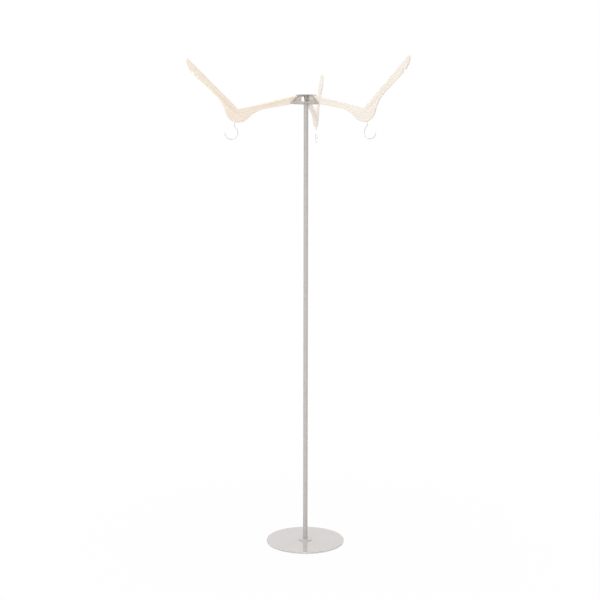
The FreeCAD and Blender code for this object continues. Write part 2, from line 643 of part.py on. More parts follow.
def hook(label, azimuth):
    """Bend the hook from wire: a stem in the bush, a short return and a round open loop."""
    body = new_body(label)
    foot = f"({RETAINER_TOP} - retainer_height)"
    sway = "((loop_rise - stem_rise) ^ 2 + loop_offset ^ 2 - loop_radius ^ 2)"
    bend = f"({sway} / (2 * (loop_radius - loop_offset)))"
    bend_radius = number(bend)
    loop = number("loop_radius")
    stem_end = Vector(0, number(STEM_END), 0)
    bend_centre = Vector(bend_radius, stem_end.y, 0)
    loop_centre = Vector(-number("loop_offset"), number(LOOP_CENTRE), 0)
    meeting = loop_centre + (bend_centre - loop_centre) * (loop / (loop + bend_radius))
    turn = math.radians(number("loop_end"))
    loop_tip = loop_centre + Vector(loop * math.cos(turn), loop * math.sin(turn), 0)
    path = new_sketch(body, f"{label}_path")
    path.addGeometry(Part.LineSegment(Vector(0, number(foot), 0), stem_end), False)
    path.addGeometry(arc_between(bend_centre, meeting, stem_end), False)
    path.addGeometry(arc_between(loop_centre, meeting, loop_tip), False)
    fix(path, "PointOnObject", 0, 1, -2)
    fix(path, "PointOnObject", 0, 2, -2)
    fix(path, "Tangent", 0, 2, 1, 2)
    fix(path, "Tangent", 1, 1, 2, 1)
    drive(path, "DistanceY", (-1, 1, 0, 1), foot)
    drive(path, "DistanceY", (-1, 1, 0, 2), STEM_END)
    drive(path, "Radius", (2,), "loop_radius")
    drive(path, "DistanceX", (-1, 1, 2, 3), "0 - loop_offset")
    drive(path, "DistanceY", (-1, 1, 2, 3), LOOP_CENTRE)
    drive(path, "DistanceX", (-1, 1, 2, 2), "loop_radius * cos(loop_end) - loop_offset")
    wire = new_sketch(body, f"{label}_wire", "XY_Plane")
    wire.setExpression("AttachmentOffset", bound(upright(foot)))
    wire.addGeometry(Part.Circle(Vector(0, 0, 0), Vector(0, 0, 1), number("wire_diameter / 2")), False)
    fix(wire, "Coincident", 0, 3, -1, 1)
    drive(wire, "Radius", (0,), "wire_diameter / 2")
    bent = body.newObject("PartDesign::AdditivePipe", f"{label}_bent")
    bent.Profile = wire
    bent.Spine = (path, ["Edge1", "Edge2", "Edge3"])
    document.recompute()
    tip = Vector(loop_tip.x, 0, loop_tip.y)
    reach = number("wire_diameter")

    def at_tip(edge):
        return isinstance(edge.Curve, Part.Circle) and edge.Curve.Center.distanceToPoint(tip) < reach / 4

    rounded(body, f"{label}_tip", "(wire_diameter - wire_flat) / 2", at_tip)
    body.setExpression("Placement", bound(on_hanger(azimuth)))


def hanger_hardware(hanger, azimuth):
    """Make the dowels, the bush, the retaining ring and the screw of one hanger."""
    for level in ("low", "high"):
        spot = f"vector(0 - dowel_length / 2; 0; dowel_{level})"
        lying = f"placement({spot}; rotation(vector(0; 1; 0); 90))"
        turned(f"hanger_{hanger}_dowel_{level}", [
            ("0", "0"),
            ("dowel_diameter / 2 - dowel_bevel", "0"),
            ("dowel_diameter / 2", "dowel_bevel"),
            ("dowel_diameter / 2", "dowel_length - dowel_bevel"),
            ("dowel_diameter / 2 - dowel_bevel", "dowel_length"),
            ("0", "dowel_length"),
        ], f"{on_hanger(azimuth)} * {lying}")
    turned(f"hanger_{hanger}_bush", [
        ("wire_diameter / 2 + hook_gap", BUSH_FOOT),
        ("bush_diameter / 2", BUSH_FOOT),
        ("bush_diameter / 2", "neck_height - flange_sink"),
        ("flange_diameter / 2", "neck_height - flange_sink"),
        ("flange_diameter / 2", "neck_height - flange_sink + flange_height - flange_bevel"),
        ("flange_diameter / 2 - flange_bevel", "neck_height - flange_sink + flange_height"),
        ("wire_diameter / 2 + hook_gap", "neck_height - flange_sink + flange_height"),
    ], on_hanger(azimuth))
    turned(f"hook_{hanger}_retainer", [
        ("wire_diameter / 2 + retainer_gap", f"{RETAINER_TOP} - retainer_height"),
        ("retainer_diameter / 2", f"{RETAINER_TOP} - retainer_height"),
        ("retainer_diameter / 2", RETAINER_TOP),
        ("wire_diameter / 2 + retainer_gap", RETAINER_TOP),
    ], on_hanger(azimuth))
    spot = f"vector(screw_radius * cos({azimuth}); screw_radius * sin({azimuth}); {POLE_TOP})"
    turned(f"hanger_{hanger}_screw", [
        ("0", "0 - screw_head_height"),
        ("screw_head_diameter / 2 - screw_head_bevel", "0 - screw_head_height"),
        ("screw_head_diameter / 2", "screw_head_bevel - screw_head_height"),
        ("screw_head_diameter / 2", "0"),
        ("screw_diameter / 2", "0"),
        ("screw_diameter / 2", "screw_length - screw_diameter"),
        ("0", "screw_length"),
    ], f"placement({spot}; rotation(vector(0; 0; 1); 0))")


for hanger, azimuth in HANGERS.items():
    inner_arm(f"hanger_{hanger}_inner_arm", azimuth)
    outer_arm(f"hanger_{hanger}_outer_arm", azimuth)
    hanger_hardware(hanger, azimuth)
    hook(f"hook_{hanger}", azimuth)

document.recompute()

# Every piece has to be sound before it is written out
for item in document.Objects:
    assert not {"Invalid", "Error"} & set(item.State), (item.Label, item.State)
os.makedirs("parts", exist_ok=True)
for label, piece in nodes.items():
    shape = piece.Shape
    assert shape.isValid() and len(shape.Solids) == 1, (label, len(shape.Solids))
    shape.exportStep(os.path.join("parts", f"{label}.step"))
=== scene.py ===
"""Looks of a coat stand: painted steel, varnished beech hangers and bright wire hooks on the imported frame.

Lengths are in metres.  The pole stands on the origin along +Z, and the first hanger reaches out along +Y.
"""
import json
import logging
import math
from dataclasses import dataclass
from enum import Enum
from typing import Any, Callable

import bmesh
import bpy
from bpy.types import ID, Material, Mesh, Node, NodeOutputs, NodeSocket, NodeTree, Object, World
from mathutils import Matrix, Vector


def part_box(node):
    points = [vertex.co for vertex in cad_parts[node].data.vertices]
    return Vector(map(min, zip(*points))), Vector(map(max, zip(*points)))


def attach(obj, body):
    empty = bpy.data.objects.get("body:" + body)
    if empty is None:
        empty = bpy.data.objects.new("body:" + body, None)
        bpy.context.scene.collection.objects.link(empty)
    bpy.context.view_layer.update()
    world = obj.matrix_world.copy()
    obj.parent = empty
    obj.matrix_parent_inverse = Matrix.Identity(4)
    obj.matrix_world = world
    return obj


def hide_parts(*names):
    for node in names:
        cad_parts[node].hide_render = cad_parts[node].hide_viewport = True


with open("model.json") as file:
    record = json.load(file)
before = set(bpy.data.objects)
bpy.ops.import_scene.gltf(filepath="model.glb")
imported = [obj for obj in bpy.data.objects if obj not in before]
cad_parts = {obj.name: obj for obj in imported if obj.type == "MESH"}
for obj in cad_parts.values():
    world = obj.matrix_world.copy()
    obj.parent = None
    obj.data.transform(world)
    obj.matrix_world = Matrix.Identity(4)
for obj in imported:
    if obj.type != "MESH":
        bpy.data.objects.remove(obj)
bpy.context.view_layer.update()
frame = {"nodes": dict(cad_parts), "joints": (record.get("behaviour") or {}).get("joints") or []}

LOG = logging.getLogger("coat_stand")
MM = 0.001
STAND = "stand"
# The attribute that says how far what grows on a point is turned about +Z.
TURN = "turn"
# Edges of turned metal that bend by more than this stay crisp.
CRISP = math.radians(35)
# Directions in which the hangers reach out from the pole.
HANGERS = {1: math.radians(90), 2: math.radians(210), 3: math.radians(330)}

Pair = tuple[float, float]
Triple = tuple[float, float, float]
Colour = tuple[float, float, float, float]
Profile = tuple[Pair, ...]
Shape = Callable[[float], float]
Ring = tuple[Shape, float]
Inputs = dict[str | int, Any]
Patterns = tuple[NodeSocket, NodeSocket, NodeSocket]


class Slot(Enum):
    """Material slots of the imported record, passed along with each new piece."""

    PAINT = "painted_steel"
    CHROME = "chrome"
    ZINC = "zinc_steel"


class Kind(Enum):
    """Socket types of a geometry tree."""

    GEOMETRY = "NodeSocketGeometry"
    NUMBER = "NodeSocketFloat"
    COUNT = "NodeSocketInt"
    OBJECT = "NodeSocketObject"
    MATERIAL = "NodeSocketMaterial"


class Timber(Enum):
    """Boards of one stack differ in tone: early wood, late wood, fibres and flecks of each kind.  The
    warmer, darker timber is also painted shade for the hanger that the light reaches less.
    """

    # Warmer and darker: partly the boards' own tone, partly painted shade.
    WARM = ("#F4E9DC", "#EADAC6", "#E3D0B8", "#D8C0A2")
    PALE = ("#F4ECE4", "#EBE0D4", "#E5D8C9", "#D9C8B4")


class Ramp(Enum):
    """How a pattern rises from one end of its band to the other."""

    STRAIGHT = "LINEAR"
    SOFT = "SMOOTHSTEP"


class Drive(Enum):
    """What a fastener is turned with."""

    HEX_KEY = "hex key"
    CROSS = "cross driver"


class Arm(Enum):
    """Arms of a hanger: one is held in the hub, and the other lies beyond the elbow and ends free."""

    INNER = 1
    OUTER = -1


def linear(code: str) -> Colour:
    """Turn an sRGB hex colour into the linear colour that a shader takes.

    Args:
        code: A hash sign and six hex digits.

    Returns:
        Linear red, green and blue, and full alpha.
    """
    shares = [int(code[start:start + 2], 16) / 255 for start in (1, 3, 5)]
    red, green, blue = (s / 12.92 if s <= 0.04045 else ((s + 0.055) / 1.055) ** 2.4 for s in shares)
    return red, green, blue, 1.0


def add_node(tree: NodeTree, kind: str, inputs: Inputs | None = None, **settings: Any) -> Node:
    """Add a node with its settings, and fill or link its inputs.

    Args:
        tree: The tree that the node goes into.
        kind: Blender's name for the type of node.
        inputs: Values or output sockets, by the input's name or number.
        **settings: Properties of the node itself.

    Returns:
        The new node.
    """
    node = tree.nodes.new(kind)
    for name, value in settings.items():
        setattr(node, name, value)
    for name, value in (inputs or {}).items():
        if isinstance(value, NodeSocket):
            tree.links.new(value, node.inputs[name])
        else:
            node.inputs[name].default_value = value
    return node


def empty_tree(owner: Material | World) -> NodeTree:
    """Give a material or the world a node tree with nothing in it.

    Args:
        owner: What the tree belongs to.

    Returns:
        The tree.
    """
    owner.use_nodes = True
    owner.node_tree.nodes.clear()
    return owner.node_tree


def put_in(name: str, data: ID) -> Object:
    """Put a new object into the scene.

    Args:
        name: The object's name.
        data: Its mesh, lamp or camera.

    Returns:
        The new object.
    """
    item = bpy.data.objects.new(name, data)
    bpy.context.scene.collection.objects.link(item)
    return item


def bottom(node: str) -> float:
    """Return the height of a CAD node's lowest point."""
    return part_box(node)[0][2]


def top(node: str) -> float:
    """Return the height of a CAD node's highest point."""
    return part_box(node)[1][2]


@dataclass(frozen=True, kw_only=True)
class Finish:
    """What every finish shares: a name, a roughness from smooth spots to rough ones, and a fine relief."""

    name: str
    gloss: Pair
    relief: float
    relief_share: float

    def constants(self) -> dict[str, float]:
        """Return the numbers that are the same all over the surface, by the shader's socket."""
        return {}

    def patterns(self, tree: NodeTree) -> Patterns:
        """Return the colour, the pattern that the roughness follows and the pattern that stands up."""
        raise NotImplementedError

    def material(self) -> Material:
        """Return the finish as a material, made when it is first asked for.

        Returns:
            The one material of that name.
        """
        known = bpy.data.materials.get(self.name)
        if known:
            return known
        material = bpy.data.materials.new(self.name)
        tree = empty_tree(material)
        colour, shine, marks = self.patterns(tree)
        roughness = add_node(tree, "ShaderNodeMapRange", {
            "Value": shine,
            "To Min": self.gloss[0],
            "To Max": self.gloss[1],
        })
        bump = add_node(tree, "ShaderNodeBump", {
            "Strength": self.relief_share,
            "Distance": self.relief,
            "Height": marks,
        })
        shader = add_node(tree, "ShaderNodeBsdfPrincipled", {
            **self.constants(),
            "Base Color": colour,
            "Roughness": roughness.outputs[0],
            "Normal": bump.outputs[0],
        })
        add_node(tree, "ShaderNodeOutputMaterial", {"Surface": shader.outputs["BSDF"]})
        return material


@dataclass(frozen=True, kw_only=True)
class Coating(Finish):
    """A skin of paint, plate or rubber: two close tones that drift in clouds, and finer marks in relief."""

    tones: tuple[str, str]
    cloud: float
    cloud_detail: float = 2.0
    mark: float
    mark_detail: float
    cloudy_shine: bool = False

    def patterns(self, tree: NodeTree) -> Patterns:
        """Drift the tone in clouds, and let the clouds or the marks break the shine.

        Args:
            tree: The material's tree.

        Returns:
            Colour, shine and relief.
        """
        spot = add_node(tree, "ShaderNodeTexCoord").outputs["Object"]
        sizes = ((self.cloud, self.cloud_detail), (self.mark, self.mark_detail))
        clouds, marks = (
            add_node(tree, "ShaderNodeTexNoise", {
                "Vector": spot,
                "Scale": 1 / size,
                "Detail": detail,
            }).outputs[0]
            for size, detail in sizes
        )
        first, second = (linear(tone) for tone in self.tones)
        tone = add_node(tree, "ShaderNodeMix", {0: clouds, 6: first, 7: second}, data_type="RGBA")
        return tone.outputs[2], clouds if self.cloudy_shine else marks, marks


@dataclass(frozen=True, kw_only=True)
class PowderCoat(Coating):
    """Light warm-grey powder coat on steel: an even colour, faint orange peel, and gloss under lacquer."""

    tones: tuple[str, str] = ("#C2BDBA", "#BBB6B3")
    cloud: float = 90 * MM
    # Orange peel is a swell about 2 mm wide.
    mark: float = 2.2 * MM
    mark_detail: float = 1.0
    cloudy_shine: bool = True
    gloss: Pair = (0.46, 0.56)
    relief: float = 0.02 * MM
    relief_share: float = 0.35
    ior: float = 1.4
    coat: float = 0.0
    coat_ior: float = 1.8
    coat_roughness: float = 0.04

    def constants(self) -> dict[str, float]:
        """Return the optics of the paint and of the clear lacquer on it.

        Returns:
            Numbers by the shader's socket.
        """
        return {
            "IOR": self.ior,
            "Coat Weight": self.coat,
            "Coat IOR": self.coat_ior,
            "Coat Roughness": self.coat_roughness,
        }


@dataclass(frozen=True, kw_only=True)
class Plating(Coating):
    """Plated steel: a metal colour that drifts between two tones, and a shine that is broken a little.

    Marks on plate are finer than a tenth of a millimetre and are drawn about 1 mm wide, so that they show.
    """

    mark_detail: float = 3.0
    relief_share: float = 0.2

    def constants(self) -> dict[str, float]:
        """Return that the surface is metal all over."""
        return {"Metallic": 1.0}


@dataclass(frozen=True, kw_only=True)
class MouldedRubber(Coating):
    """Dull black rubber sheet: almost no shine, a fine matt grain from the mould."""

    tones: tuple[str, str] = ("#262627", "#353435")
    # The mould's grain is about 0.3 mm wide and is drawn four times as wide, so that it shows.
    cloud: float = 1.2 * MM
    mark: float = 1.2 * MM
    mark_detail: float = 2.0
    gloss: Pair = (0.72, 0.88)
    relief: float = 0.1 * MM
    relief_share: float = 0.5


@dataclass(frozen=True)
class Layer:
    """How a pattern lays a tone on wood: the band of it that counts, and the tone's share at either end."""

    band: Pair
    shares: Pair
    ramp: Ramp = Ramp.STRAIGHT


@dataclass(frozen=True, kw_only=True)
class VarnishedBeech(Finish):
    """Planed beech under thin satin varnish: pale, straight grained, with short ray flecks and soft shine.

    The pattern is in millimetres, along, across and through the board, from the heart of the tree.
    """

    heart: Triple
    turn: Triple
    timber: Timber
    # Rings lie about 2.5 mm apart on real beech and are drawn three times as wide, so that they show.
    ring_gap: float = 8.0
    ring_wander: float = 1.2
    ring_stretch: float = 0.03
    ring_detail: float = 2.0
    ring_detail_scale: float = 1.4
    late_wood: Layer = Layer((0.25, 1.0), (0.0, 0.75), Ramp.SOFT)
    # Fibre bundles are about 0.4 mm wide and are drawn 5 mm wide, so that they show.
    fibre_width: float = 5.0
    fibre_length: float = 220.0
    fibre_detail: float = 1.0
    streaks: Layer = Layer((0.45, 0.75), (0.0, 0.55))
    # Ray flecks are 1 to 4 mm long and are drawn 22 mm long, so that they show.
    fleck_width: float = 3.2
    fleck_length: float = 22.0
    flecks: Layer = Layer((0.1, 0.24), (0.12, 0.0))
    gloss: Pair = (0.42, 0.54)
    relief: float = 0.03 * MM
    relief_share: float = 0.3
    ior: float = 1.5
    coat: float = 0.2
    coat_roughness: float = 0.28

    def constants(self) -> dict[str, float]:
        """Return the optics of the wood and of the varnish on it."""
        return {"IOR": self.ior, "Coat Weight": self.coat, "Coat Roughness": self.coat_roughness}

    def patterns(self, tree: NodeTree) -> Patterns:
        """Lay rings, fibres and flecks over each other and let the fibres rough up the varnish.

        Args:
            tree: The material's tree.

        Returns:
            Colour, shine and relief.
        """
        board = add_node(tree, "ShaderNodeMapping", {
            "Vector": add_node(tree, "ShaderNodeTexCoord").outputs["Object"],
            "Location": self.heart,
            "Rotation": self.turn,
            "Scale": (MM, MM, MM),
        }, vector_type="TEXTURE").outputs[0]
        stretches = (
            (self.ring_stretch, 1.0),
            (1 / self.fibre_length, 1 / self.fibre_width),
            (1 / self.fleck_length, 1 / self.fleck_width),
        )
        ring_spot, fibre_spot, fleck_spot = (
            add_node(tree, "ShaderNodeMapping", {
                "Vector": board,
                "Scale": (along, across, across),
            }).outputs[0]
            for along, across in stretches
        )
        # A ring texture of scale 1 repeats every 2 pi / 20 units.
        rings = add_node(tree, "ShaderNodeTexWave", {
            "Vector": ring_spot,
            "Scale": math.tau / 20 / self.ring_gap,
            "Distortion": self.ring_wander,
            "Detail": self.ring_detail,
            "Detail Scale": self.ring_detail_scale,
        }, wave_type="RINGS", rings_direction="X", wave_profile="SAW").outputs["Fac"]
        fibres = add_node(tree, "ShaderNodeTexNoise", {
            "Vector": fibre_spot,
            "Scale": 1.0,
            "Detail": self.fibre_detail,
        }).outputs[0]
        cells = add_node(tree, "ShaderNodeTexVoronoi", {
            "Vector": fleck_spot,
            "Scale": 1.0,
        }).outputs["Distance"]
        early, late, fibre, fleck = (linear(tone) for tone in self.timber.value)
        colour = early
        layers = ((self.late_wood, rings, late), (self.streaks, fibres, fibre), (self.flecks, cells, fleck))
        for layer, pattern, tone in layers:
            share = add_node(tree, "ShaderNodeMapRange", {
                "Value": pattern,
                "From Min": layer.band[0],
                "From Max": layer.band[1],
                "To Min": layer.shares[0],
                "To Max": layer.shares[1],
            }, interpolation_type=layer.ramp.value).outputs[0]
            mix = add_node(tree, "ShaderNodeMix", {0: share, 6: colour, 7: tone}, data_type="RGBA")
            colour = mix.outputs[2]
        return colour, fibres, fibres


# Pole and hub are satin.
PAINT = PowderCoat(name="satin_powder_coat")
# The foot is lacquered and mirrors the pole.
LACQUER = PowderCoat(name="lacquered_powder_coat", gloss=(0.3, 0.4), coat=1.0)
# Bright chrome mirrors what is round it and is hardly tinted.
CHROME = Plating(
    name="bright_chrome_plate",
    tones=("#D8DBDE", "#E0DEDA"),
    cloud=30 * MM,
    mark=1.5 * MM,
    gloss=(0.05, 0.12),
    relief=0.004 * MM,
)
# Passivated zinc is a duller metal that drifts between blue and straw.
ZINC = Plating(
    name="passivated_zinc_plate",
    tones=("#B4BAC4", "#C9C3AE"),
    cloud=6 * MM,
    mark=0.8 * MM,
    gloss=(0.28, 0.42),
    relief=0.02 * MM,
)
# Rubber swallows the light and shows a matt grain.
RUBBER = MouldedRubber(name="moulded_rubber")


def new_tree(name: str, inputs: dict[str, Kind]) -> tuple[NodeTree, NodeOutputs]:
    """Start a geometry tree.

    Args:
        name: What the tree makes.
        inputs: The type of each named input, besides the geometry and the material that every tree takes.

    Returns:
        The tree, and the sockets that hand out its inputs.
    """
    tree = bpy.data.node_groups.new(name, "GeometryNodeTree")
    kinds = {"Geometry": Kind.GEOMETRY, **inputs, "Material": Kind.MATERIAL}
    for label, kind in kinds.items():
        tree.interface.new_socket(label, in_out="INPUT", socket_type=kind.value)
    tree.interface.new_socket("Geometry", in_out="OUTPUT", socket_type=Kind.GEOMETRY.value)
    return tree, add_node(tree, "NodeGroupInput").outputs


def end_tree(tree: NodeTree, given: NodeOutputs, geometry: NodeSocket) -> None:
    """End a geometry tree in real, smooth geometry with its material.

    Args:
        tree: The tree to end.
        given: The sockets that hand out its inputs.
        geometry: What it has made.
    """
    real = add_node(tree, "GeometryNodeRealizeInstances", {"Geometry": geometry})
    smooth = add_node(tree, "GeometryNodeSetShadeSmooth", {"Geometry": real.outputs[0]})
    coated = add_node(tree, "GeometryNodeSetMaterial", {
        "Geometry": smooth.outputs[0],
        "Material": given["Material"],
    })
    add_node(tree, "NodeGroupOutput", {"Geometry": coated.outputs[0]})


def grown(tree: NodeTree, mesh: Mesh, finish: Finish, sizes: dict[str, Any]) -> Mesh:
    """Run a geometry tree on a mesh and keep what it makes as a plain mesh.

    Args:
        tree: The geometry tree.
        mesh: What the tree starts from.  It is used up.
        finish: What the result is coated with.
        sizes: The tree's own inputs, by name.

    Returns:
        A new mesh.
    """
    values = {**sizes, "Material": finish.material()}
    carrier = put_in(f"{tree.name}_carrier", mesh)
    modifier = carrier.modifiers.new(tree.name, "NODES")
    modifier.node_group = tree
    for item in tree.interface.items_tree:
        if item.in_out == "INPUT" and item.name in values:
            modifier[item.identifier] = values[item.name]
    evaluated = carrier.evaluated_get(bpy.context.evaluated_depsgraph_get())
    made = bpy.data.meshes.new_from_object(evaluated)
    carrier.modifiers.remove(modifier)
    bpy.data.objects.remove(carrier)
    bpy.data.meshes.remove(mesh)
    return made


def points_mesh(name: str, points: list[Vector], turns: list[float] | None = None) -> Mesh:
    """Make a mesh of loose points, or of one path where no turns are given.

    Args:
        name: The mesh's name.
        points: Where the points are.
        turns: How far what grows on each point is turned about +Z, in radians.

    Returns:
        The new mesh.
    """
    mesh = bpy.data.meshes.new(name)
    path = [] if turns else [(index, index + 1) for index in range(len(points) - 1)]
    mesh.from_pydata(points, path, [])
    if turns:
        mesh.attributes.new(TURN, "FLOAT", "POINT").data.foreach_set("value", turns)
    return mesh


def set_down(name: str, mesh: Mesh, body: str, slot: Slot, *nodes: str) -> None:
    """Put a finished mesh into the scene as a piece of the object.

    Args:
        name: The piece's name.
        mesh: Its mesh, in the frame's own place.
        body: The body that it rides on.
        slot: The record's slot for its finish.  It is not used.
        *nodes: The CAD nodes that it stands for.
    """
    piece = put_in(name, mesh)
    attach(piece, body)
    if nodes:
        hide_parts(*nodes)
    LOG.info("%s rides on %s with %d faces", name, body, len(mesh.polygons))


def dress(node: str, finish: Finish) -> None:
    """Give a CAD node, which keeps its shape, a finish.

    Args:
        node: The node's name.
        finish: What it is coated with or made of.
    """
    for slot in frame["nodes"][node].material_slots:
        slot.material = finish.material()
    LOG.info("%s is dressed in %s", node, finish.name)


def circle(radius: float) -> Shape:
    """Return the shape of a round ring."""
    return lambda angle: radius


def hexagon(across_flats: float) -> Shape:
    """Return the shape of a hex socket."""
    return lambda angle: across_flats / 2 / math.cos(angle % (math.pi / 3) - math.pi / 6)


def cross(length: float, width: float) -> Shape:
    """Return the shape of a cross recess.

    Args:
        length: From tip to tip of the cross.
        width: Width of its arms.

    Returns:
        The reach of the cross at an angle.
    """
    def reach(angle: float) -> float:
        """Return how far the recess reaches.

        Args:
            angle: Round the fastener's axis.

        Returns:
            The distance from the axis.
        """
        off = abs((angle + math.pi / 4) % (math.pi / 2) - math.pi / 4)
        if math.tan(off) * length <= width:
            return length / 2 / math.cos(off)
        return width / 2 / math.sin(off)

    return reach


def ringed(name: str, rings: list[Ring], sides: int) -> Mesh:
    """Skin a stack of rings into a closed mesh.

    Args:
        name: The mesh's name.
        rings: Shape and height of each ring, from the lower end up the outside and into any recess.
        sides: Points on each ring.

    Returns:
        The new mesh, smooth but for its sharp corners.
    """
    angles = [math.tau * index / sides for index in range(sides)]
    form = bmesh.new()
    loops = []
    for shape, height in rings:
        loops.append([
            form.verts.new((shape(angle) * math.cos(angle), shape(angle) * math.sin(angle), height))
            for angle in angles
        ])
    for low, high in zip(loops, loops[1:]):
        for index in range(sides):
            after = (index + 1) % sides
            form.faces.new((low[index], low[after], high[after], high[index]))
    form.faces.new(list(reversed(loops[0])))
    form.faces.new(loops[-1])
    mesh = bpy.data.meshes.new(name)
    form.to_mesh(mesh)
    form.free()
    mesh.shade_smooth()
    mesh.set_sharp_from_angle(angle=CRISP)
    return mesh


def joined(name: str, meshes: list[Mesh], finish: Finish, place: Matrix | None = None) -> Mesh:
    """Put several meshes into one.

    Args:
        name: The new mesh's name.
        meshes: What goes into it.  They are used up.
        finish: The finish of the whole.
        place: Where the whole goes, if not where it is.

    Returns:
        The new mesh.
    """
    form = bmesh.new()
    for mesh in meshes:
        form.from_mesh(mesh)
        bpy.data.meshes.remove(mesh)
    whole = bpy.data.meshes.new(name)
    form.to_mesh(whole)
    form.free()
    if place:
        whole.transform(place)
    whole.materials.append(finish.material())
    return whole


